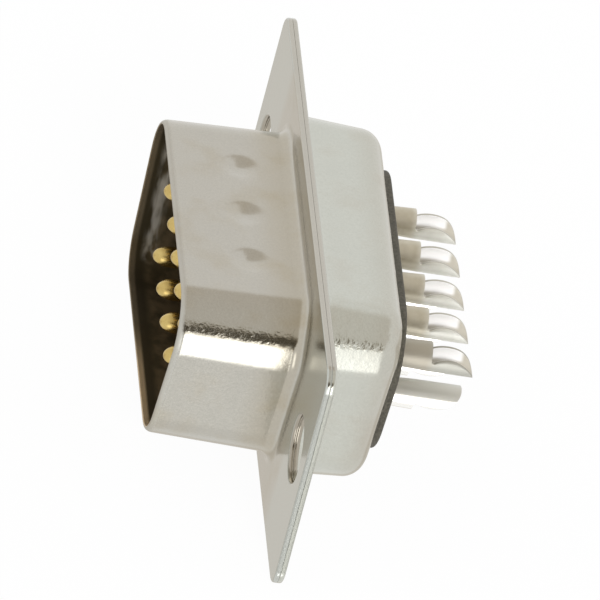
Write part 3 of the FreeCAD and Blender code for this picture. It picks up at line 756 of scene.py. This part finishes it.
def sheet_colour(tree, place, smudge, colours, shade_span, shade_share):
    """Colour of a sheet: its wall with warm smudges and a band of painted shade, cooler flange, long edges
    and holes' painted shade.
    """
    wall, stain_and_shade, flange = colours
    across, along, up = (abs(value) for value in place)
    ends = across.passes(*FLANGE_ENDS)
    cool = across.passes(*COLLAR_ENDS) * COLLAR_COOL + ends * along.passes(*FLANGE_FACES) * FLANGE_COOL
    # Painted shade: a band along Y, at the collar's root on the front shell and towards the tray's end on
    # the rear, weaker on the flange's faces. Random smudges add real blotches.
    stains_and_shade = along.passes(*shade_span) * (1 - UNSHADED_SHARE * along.passes(*UNSHADED_FACES)) * shade_share
    stains_and_shade = (smudge.rises(*SHEET_BLOTCHES) * SMUDGE_SHARE + stains_and_shade) * (1 - ends)
    base = tree.mix(stains_and_shade, tree.mix(cool, wall, flange), stain_and_shade)
    base = tree.mix(up.passes(*EDGE_BAND, FLANGE_TOP), base, WARM_WALL)
    # Painted shade: the holes' walls are darkened to tan.
    in_hole = distance(across - HOLE_PLACE * MM, up).passes(*HOLE_BAND, HOLE_RADIUS)
    return tree.mix(in_hole * HOLE_SHARE, base, HOLE_WALL_SHADE)


def pebbled_corner(place, bend):
    """Mask of the pebbled part of the corners, which bend about the X and Z given."""
    across, along, up = (abs(value) for value in place)
    out, over = across - bend[0] * MM, up - bend[1] * MM
    corner = distance(out, over).passes(*PEBBLED_SKIN) * out.passes(*PEBBLED_SIDE)
    return corner * over.passes(*PEBBLED_TOP) * along.passes(*PEBBLED_WALL)


def plated_sheet(name, colours, bend, shade_span, shade_share):
    """Bright plating on drawn sheet, smudged and with painted shade, a pebbled corner, dull at the rim and
    sheared ends.
    """
    made, tree = material(name)
    place = tree.place().parts()
    x, y, z = place
    smudge, grain = tree.noise(*SHEET_SMUDGE), tree.noise(*SHEET_GRAIN)
    sheared = abs(x).passes(*EDGE_BAND, FLANGE_END) * abs(z).passes(*SHEARED_HEIGHT, FLANGE_TOP)
    rim = y.passes(*RIM_BAND, RIM)
    light = 0.86 + 0.1 * smudge + 0.16 * grain - 0.12 * sheared
    rough = 0.1 + 0.08 * smudge + 0.06 * grain + 0.45 * sheared + 0.3 * rim
    skin = tree.bump(tree.noise(*SKIN), SKIN_BUMP)
    pebbles = (tree.noise(*PEBBLES) - 0.5) * pebbled_corner(place, bend)
    finish_material(tree, {
        "Base Color": tree.shade(sheet_colour(tree, place, smudge, colours, shade_span, shade_share), light),
        "Metallic": 1.0, "Roughness": rough, "Normal": tree.bump(pebbles, PEBBLE_BUMP, skin),
    })
    return made


# Plating inside the collar: colours and noises, then places by depth from the rim and along X, and shares.
# Painted light inside the collar: shade on the band near the rim, a highlight along the rim's edge, and a
# reflected streak near the -X end.
INSIDE_WALL, INSIDE_SHADE = (colour(104, 94, 72), colour(138, 122, 96)), colour(84, 76, 58)
INSIDE_EDGE_HIGHLIGHT, STREAK_REFLECTION = colour(212, 192, 162), colour(232, 228, 218)
INSIDE_SMUDGE, INSIDE_BLOTCHES, INSIDE_BUMP = (0.9, 3.0, 0.6), (0.35, 0.65), 0.01
STREAK_NOISE, STREAK_STRETCH = (0.45, 2.0, 0.5), (1, 1, 4)
SHADE_DEPTH, EDGE_DEPTH, EDGE_SIDE = (0.6, 1.1), (0.38, 0.22), (-2.5, 2.0)
STREAK_SIDE, STREAK_START, STREAK_END = (-6.8, -7.4), (0.45, 0.85), (1.5, 1.0)
EDGE_LEAST, STREAK_SHARE = 0.25, 0.85


def inside_plating():
    """The collar's inside: brownish and dull, with painted shade near the rim, a painted highlight at its
    edge and a painted reflected streak.
    """
    made, tree = material("inside_plating")
    x, y, _ = tree.place().parts()
    depth = y - RIM * MM
    smudge = tree.noise(*INSIDE_SMUDGE)
    wall = tree.mix(smudge.rises(*INSIDE_BLOTCHES), *INSIDE_WALL)
    # Painted shade: darker near the rim.
    base = tree.mix(depth.passes(*SHADE_DEPTH), INSIDE_SHADE, wall)
    # Painted highlight along the rim's edge, stronger towards +X.
    edge = depth.passes(*EDGE_DEPTH) * (EDGE_LEAST + (1 - EDGE_LEAST) * x.passes(*EDGE_SIDE))
    base = tree.mix(edge, base, INSIDE_EDGE_HIGHLIGHT)
    # Painted reflection: a light streak on the inner wall near the -X end.
    streak = x.passes(*STREAK_SIDE) * depth.passes(*STREAK_START) * depth.passes(*STREAK_END)
    streak = streak * tree.noise(*STREAK_NOISE, STREAK_STRETCH).rises(*INSIDE_BLOTCHES)
    finish_material(tree, {
        "Base Color": tree.mix(streak * STREAK_SHARE, base, STREAK_REFLECTION), "Metallic": 1.0,
        "Roughness": 0.4 + 0.16 * smudge, "Normal": tree.bump(smudge, INSIDE_BUMP),
    })
    return made


# Black plastic: colours, lighter warm ones that paint light on the mating side, noises, that side's place
# along Y, and shares.
BLACK, WARM_PAINTED_LIGHT = (colour(52, 49, 40), colour(98, 94, 82)), (colour(78, 68, 54), colour(122, 108, 88))
MOULD_GRAIN, MOULD_CLOUD, MOULD_BLOTCHES = (0.13, 3.0, 0.65), (1.5, 2.0, 0.5), (0.3, 0.7)
MATING_SIDE, WARM_SHARE, GRAIN_SHARE, MOULD_BUMP, MOULD_GLOSS = (1.5, 0.8), 0.4, 0.7, 0.01, 0.4


def black_moulding():
    """Glass-filled black plastic: dark warm grey, dull, with a fine pitted skin and painted warm light on
    the mating side.
    """
    made, tree = material("black_moulding")
    grain, cloud = tree.noise(*MOULD_GRAIN), tree.noise(*MOULD_CLOUD)
    pits = grain.rises(*MOULD_BLOTCHES) * GRAIN_SHARE + cloud * (1 - GRAIN_SHARE)
    _, y, _ = tree.place().parts()
    # Painted light: the face inside the collar is made lighter and warmer.
    warm = y.passes(*MATING_SIDE) * WARM_SHARE
    finish_material(tree, {
        "Base Color": tree.mix(warm, tree.mix(pits, *BLACK), tree.mix(grain, *WARM_PAINTED_LIGHT)),
        "Roughness": 0.5 + 0.2 * grain, "Normal": tree.bump(grain, MOULD_BUMP),
        "Specular IOR Level": MOULD_GLOSS,
    })
    return made


# Plating of the contacts: colours, some of them painted highlight and shade, noises and a bump's height.
GILT = colour(180, 152, 88), colour(216, 194, 128)
ROOT_TIN = colour(194, 186, 166), colour(222, 216, 200)
SATIN_TIN = colour(224, 223, 214), colour(244, 243, 236)
# Painted highlight: the narrow row's cups are near white on their open half and satin on their closed half.
NARROW_TIN_HIGHLIGHT = colour(252, 251, 247), colour(222, 221, 214)
# The bore's colours: grey-tan that is partly painted shade, and near white that is a painted highlight.
BORE_SHADE_AND_HIGHLIGHT = colour(196, 190, 176), colour(254, 253, 252)
# Painted shade: darker satin and root for the last contact of the wide row.
LAST_SATIN_SHADE, LAST_ROOT_SHADE, LIP_TIN = colour(192, 191, 182), colour(184, 178, 164), colour(150, 142, 124)
CONTACT_GRAIN, CONTACT_SMUDGE, CONTACT_BUMP = (0.1, 2.0, 0.6), (0.5, 2.0, 0.5), 0.006

# Places on the contacts: along Y, along X and Z, across a cup's wall, and up from the cup's middle.
TINNED, SCOOP, BEHIND_NOTCH, HIGHLIGHT_END = (2.0, 3.0), (-0.15, -0.05), (-0.3, 0.3), (-0.5, -0.75)
LAST_CONTACT, ROWS_PART = (3.4, 5.0), (-0.2, 0.2)
BORE_EDGE, LIP_INSIDE, LIP_OUTSIDE = (0.04, 0.02), (0.02, 0.06), (-0.02, -0.06)
CLOSED_SIDE, HIGHLIGHT_SIDE = (-0.28, -0.38), (-0.42, -0.26)
LIP_TIN_SHARE = 0.5


def cup_place(place):
    """How far a point is from the middle line of its own cup, and how far up from it to the open side."""
    x, _, z = place
    shifted = x + z.calc("LESS_THAN", 0.0) * (PITCH / 2 * MM)
    across = shifted.calc("WRAP", PITCH / 2 * MM, -PITCH / 2 * MM)
    up = abs(z) - (ROW_PITCH / 2 + CUP_OFFSET) * MM
    return distance(across, up), up


def tin_colour(tree, place, smudge, wide_row, closed_side):
    """Colour of the tin outside: satin wide row with a duller root and a last contact darkened by painted
    shade; the narrow row lighter with a painted highlight.
    """
    x, y, _ = place
    # Painted shade on the contacts towards +X, which shows on the wide row's last one.
    last = x.passes(*LAST_CONTACT)
    root = tree.mix(last, tree.mix(smudge, *ROOT_TIN), LAST_ROOT_SHADE)
    satin = tree.mix(last, tree.mix(smudge, *SATIN_TIN), LAST_SATIN_SHADE)
    wide = tree.mix(y.passes(*BEHIND_NOTCH, CUP_NOTCH), root, satin)
    # The narrow row takes its painted highlight.
    return tree.mix(wide_row, tree.mix(closed_side, *NARROW_TIN_HIGHLIGHT), wide)


def contact_plating():
    """Gilt on the pin and tin on the cup, duller on the cut lip. The bore is not metal and has painted
    shade and a painted highlight.
    """
    made, tree = material("contact_plating")
    place = tree.place().parts()
    _, y, z = place
    grain, smudge = tree.noise(*CONTACT_GRAIN), tree.noise(*CONTACT_SMUDGE)
    radius, up = cup_place(place)
    scoop = y.passes(*SCOOP, CUP_NOTCH)
    bore = radius.passes(*BORE_EDGE, CUP_BORE) * scoop
    lip = radius.passes(*LIP_INSIDE, CUP_BORE) * scoop * radius.passes(*LIP_OUTSIDE, CUP_RADIUS)
    wide_row, closed_side, tinned = z.passes(*ROWS_PART), up.passes(*CLOSED_SIDE), y.passes(*TINNED)
    tin = tin_colour(tree, place, smudge, wide_row, closed_side)
    tin = tree.mix(lip * LIP_TIN_SHARE, tin, LIP_TIN)
    # Painted highlight: near white in the bore towards its open side and short of its tip; the bore is not
    # metal, so the lamp lights it.
    bright = up.passes(*HIGHLIGHT_SIDE) * y.passes(*HIGHLIGHT_END, CUP_REACH)
    tin = tree.mix(bore, tin, tree.mix(bright, *BORE_SHADE_AND_HIGHLIGHT))
    dull = wide_row + closed_side * (1 - wide_row)
    finish_material(tree, {
        "Base Color": tree.mix(tinned, tree.mix(smudge, *GILT), tin), "Metallic": 1 - bore,
        "Roughness": 0.2 + 0.1 * grain + 0.25 * tinned * dull,
        "Normal": tree.bump(smudge * 0.5 + grain * 0.5, CONTACT_BUMP),
    })
    return made


def set_camera():
    """Camera at the photograph's angle and distance, aimed so that the origin lands where it does there."""
    data = bpy.data.cameras.new("camera")
    data.sensor_width = SENSOR
    data.lens = SENSOR * CAMERA_DISTANCE * PIXELS_PER_MM / PIXELS
    camera = bpy.data.objects.new("camera", data)
    bpy.context.scene.collection.objects.link(camera)
    across, down = ((PIXELS / 2 - seen) / PIXELS_PER_MM for seen in ORIGIN_PIXEL)
    aim = CAMERA_RIGHT * across + CAMERA_DOWN * down
    axes = Matrix((CAMERA_RIGHT, -CAMERA_DOWN, -CAMERA_FORWARD)).transposed().to_4x4()
    camera.matrix_world = Matrix.Translation((aim - CAMERA_FORWARD * CAMERA_DISTANCE) * MM) @ axes
    bpy.context.scene.camera = camera


# The studio, as the directions that the metal mirrors. A patch of it has soft edges by angle, in degrees
# from +Z towards +X, and by the direction's Y. An edge is a pair: where it starts and where it is done.
PANEL, PANEL_LIGHT = (((80, 87), (146, 139)), ((0.0, 0.07), (0.365, 0.145))), 2.4
PANEL_CORNER = ((134, 140),), ((0.12, 0.05),)
SPOT, SPOT_LIGHT = (((84, 96), (132, 118)), ((-0.6, -0.45), (-0.24, -0.32))), 1.3
STRIP_LIMITS = ((88, 80),), ((-0.6, -0.3), (0.8, 0.5))
BELOW, BELOW_SHADE = (((-100, -118), (-165, -150)), ()), 0.24
LOW_EDGE, LOW_SHADE = (((144, 149),), ((0.245, 0.205), (-0.05, 0.05))), 0.05

# Dim strips, each with the share of light that it takes away.
STRIPS = (
    (0.27, ((-52, -44),), ((0.245, 0.205),)),
    (0.21, ((-30, -10),), ((0.205, 0.245),)),
    (0.63, ((48, 60),), ((0.3, 0.2),)),
)

# Degrees that the leaning edges turn by for a whole unit of Y, the colours of the studio and of its dim
# parts, and the light that dull surfaces get.
LEAN, WHITE, DIM_COLOUR, PLAIN_LIGHT = 45, (1, 1, 1, 1), (1, 0.82, 0.54, 1), 0.8


def patch(angle, y, angles, reaches):
    """Patch of the studio, 1 inside all of its edges."""
    edges = [angle.rises(*edge) for edge in angles] + [y.rises(*edge) for edge in reaches]
    inside = edges[0]
    for edge in edges[1:]:
        inside = inside * edge
    return inside


def studio_light(tree):
    """How bright the mirrored studio is, and how much of its light is taken away."""
    x, y, z = tree.add("ShaderNodeTexCoord", output="Generated").parts()
    angle = x.calc("ARCTAN2", z) * (180 / math.pi)
    leaning = angle + LEAN * abs(y)
    panel = patch(leaning, y, *PANEL) * (1 - patch(angle, y, *PANEL_CORNER))
    spot = patch(angle, y, *SPOT)
    strips = sum(patch(angle, y, *edges) * share for share, *edges in STRIPS)
    strips = strips * patch(leaning, y, *STRIP_LIMITS)
    dim = strips + patch(angle, y, *BELOW) * BELOW_SHADE + patch(leaning, y, *LOW_EDGE) * LOW_SHADE
    return 1 + PANEL_LIGHT * panel + SPOT_LIGHT * spot - dim, dim


def set_world():
    """White studio. Metal mirrors its bright panel, its spot and its dim strips; the rest sees it plain."""
    world = bpy.data.worlds.new("studio")
    world.use_nodes = True
    bpy.context.scene.world = world
    tree = Tree(world.node_tree)
    studio, dim = studio_light(tree)
    rays = tree.add("ShaderNodeLightPath")
    camera_ray, glossy_ray = rays.output("Is Camera Ray"), rays.output("Is Glossy Ray")
    strength = camera_ray + glossy_ray * studio + (1 - camera_ray) * (1 - glossy_ray) * PLAIN_LIGHT
    tint = tree.mix(dim * glossy_ray, WHITE, DIM_COLOUR)
    light = tree.add("ShaderNodeBackground", {}, {"Color": tint, "Strength": strength})
    tree.add("ShaderNodeOutputWorld", {}, {"Surface": light})


# The lamp is LAMP_TILT degrees from +Z towards +X, a little towards the wires, and LAMP_WIDTH degrees wide.
# The floor reaches FLOOR_HALF metres out, FLOOR_GAP under the flange. FLOOR_WHITE is how much of it the
# camera sees as plain white.
LAMP_TILT, LAMP_BACK, LAMP_LIGHT, LAMP_WIDTH = 62, 0.1, 1.4, 12
FLOOR_GREY, FLOOR_HALF, FLOOR_GAP, FLOOR_WHITE = (0.93, 0.93, 0.93, 1), 0.8, 0.01, 0.96


def set_lamp():
    """Lamp over the right shoulder for the dull surfaces; the metal mirrors the studio alone."""
    data = bpy.data.lights.new("lamp", "SUN")
    data.energy = LAMP_LIGHT
    data.angle = math.radians(LAMP_WIDTH)
    lamp = bpy.data.objects.new("lamp", data)
    side, up = turned(LAMP_TILT)
    lamp.rotation_euler = Vector((side, LAMP_BACK, up)).to_track_quat("Z", "Y").to_euler()
    lamp.visible_glossy = False
    bpy.context.scene.collection.objects.link(lamp)


def set_floor():
    """Pale floor under the flange's lower edge. It takes the shadow, and the metal doesn't mirror it."""
    bottom = cad_box[0][2] - FLOOR_GAP * MM
    corners = [(x * FLOOR_HALF, y * FLOOR_HALF, bottom) for x, y in ((-1, -1), (1, -1), (1, 1), (-1, 1))]
    mesh = bpy.data.meshes.new("floor")
    mesh.from_pydata(corners, [], [(0, 1, 2, 3)])
    floor = bpy.data.objects.new("floor", mesh)
    bpy.context.scene.collection.objects.link(floor)
    floor.visible_glossy = False
    made, tree = material("pale_floor")
    matt = tree.add("ShaderNodeBsdfDiffuse", {}, {"Color": FLOOR_GREY})
    white = tree.add("ShaderNodeEmission", {}, {"Color": WHITE, "Strength": 1.0})
    seen = tree.add("ShaderNodeLightPath", output="Is Camera Ray")
    mixed = tree.add("ShaderNodeMixShader", {}, {0: seen * FLOOR_WHITE, 1: matt, 2: white})
    tree.add("ShaderNodeOutputMaterial", {}, {"Surface": mixed})
    mesh.materials.append(made)


def settle(piece, slot, *nodes):
    """The piece rides on the connector's one body and stands for nodes of the model, which it hides. slot
    is not used.
    """
    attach(piece, "root")
    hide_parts(*nodes)


def line_inside(piece, made):
    """The collar's faces that look inwards take a second material."""
    piece.data.materials.append(made)
    for face in piece.data.polygons:
        inwards = face.normal.x * face.center.x + face.normal.z * face.center.z < 0
        if inwards and face.center.y < 0:
            face.material_index = 1


def main():
    set_camera()
    set_world()
    set_lamp()
    set_floor()
    front = new_object("front_shell_sheet", front_shell, plated_sheet("front_plating", *FRONT_PLATING))
    line_inside(front, inside_plating())
    settle(front, "shell", "front_shell")
    rear = new_object("rear_shell_sheet", rear_shell, plated_sheet("rear_plating", *REAR_PLATING))
    settle(rear, "shell", "rear_shell")
    black = black_moulding()
    settle(new_object("front_moulding", front_insulator, black), "insulator", "front_insulator")
    settle(new_object("rear_moulding", rear_insulator, black), "insulator", "rear_insulator")
    names = [f"contact_{k + 1}" for k in range(WIDE_ROW + NARROW_ROW)]
    settle(contacts(contact_plating()), "contact", *names)
    bpy.context.scene.view_settings.view_transform = "Standard"


main()
